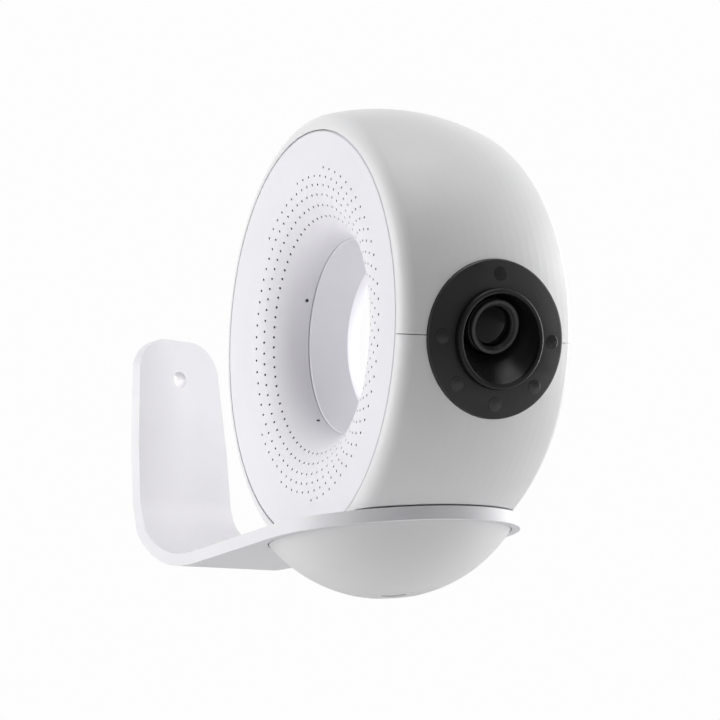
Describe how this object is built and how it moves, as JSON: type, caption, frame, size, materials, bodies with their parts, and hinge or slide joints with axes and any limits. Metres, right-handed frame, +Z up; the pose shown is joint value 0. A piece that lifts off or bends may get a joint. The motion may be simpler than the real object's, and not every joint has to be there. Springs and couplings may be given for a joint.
{
  "type": "baby monitor camera",
  "caption": "Ring-shaped baby monitor camera that pans on a round base seated in a wall bracket, with a see-through centre and a tilting lens",
  "frame": {"origin": "centre of the screw hole, on the face of the bracket that lies against the wall", "axes": "x right as seen from the front, y towards the wall, z up"},
  "size_m": [0.0685, 0.1387, 0.1237],
  "materials": {
    "white_body": "satin",
    "white_plate": "satin",
    "white_bracket": "satin",
    "black_gloss": "polished",
    "black_funnel": "polished",
    "black_barrel": "satin",
    "lens_glass": "polished",
    "lamp_resin": "polished",
    "dark_plastic": "matte",
    "gear_plastic": "satin",
    "board_green": "satin",
    "motor_metal": "satin",
    "steel": "satin",
    "brass_can": "satin"
  },
  "bodies": {
    "bracket": {"wall_bracket": "white_bracket", "bracket_ring": "white_bracket"},
    "base": {"base_bowl": "white_body", "base_deck": "white_body", "deck_screws": "steel", "pan_motor": "motor_metal", "power_board": "board_green", "usb_port": "steel", "key_board": "board_green", "button_switch": "dark_plastic"},
    "button": {"pair_button": "white_body"},
    "pinion": {"pan_pinion": "gear_plastic"},
    "lens_unit": {"lens_barrel": "black_barrel", "lens_front_glass": "lens_glass", "lens_holder": "dark_plastic", "sensor_board": "board_green"},
    "head": {"pan_gear": "gear_plastic", "pan_axle": "white_body", "axle_screws": "steel", "rim_shell_upper": "white_body", "rim_shell_lower": "white_body", "side_plate_left": "white_plate", "side_plate_right": "white_plate", "tunnel_sleeve": "white_plate", "lens_window": "black_gloss", "lens_funnel": "black_funnel", "ir_led_board": "board_green", "ir_leds": "lamp_resin", "light_sensor": "dark_plastic", "status_led": "lamp_resin", "lens_yoke": "dark_plastic", "main_board": "board_green", "shield_can": "steel", "wifi_module": "steel", "speaker": "dark_plastic", "microphones": "brass_can"}
  },
  "joints": [
    {"name": "base_lift", "type": "slide", "parent": "bracket", "child": "base", "axis": [0, 0, 1], "range_m": [0, 0.05]},
    {"name": "head_pan", "type": "hinge", "parent": "base", "child": "head", "pos_m": [0, -0.08, -0.051], "axis": [0, 0, 1], "range_deg": [-160, 188]},
    {"name": "pinion_spin", "type": "hinge", "parent": "base", "child": "pinion", "pos_m": [0, -0.095, -0.06], "axis": [0, 0, 1], "range_deg": [-570, 570]},
    {"name": "lens_tilt", "type": "hinge", "parent": "head", "child": "lens_unit", "pos_m": [-0.01197, -0.12662, -0.00918], "axis": [0.9686, -0.2487, 0], "range_deg": [-6, 6]},
    {"name": "button_press", "type": "slide", "parent": "base", "child": "button", "axis": [0, 0, 1], "range_m": [0, 0.0006], "stiffness_N_per_m": 150, "springref_m": -0.001}
  ],
  "couplings": [
    {"joint": "pinion_spin", "follows": "head_pan", "ratio": -3}
  ]
}
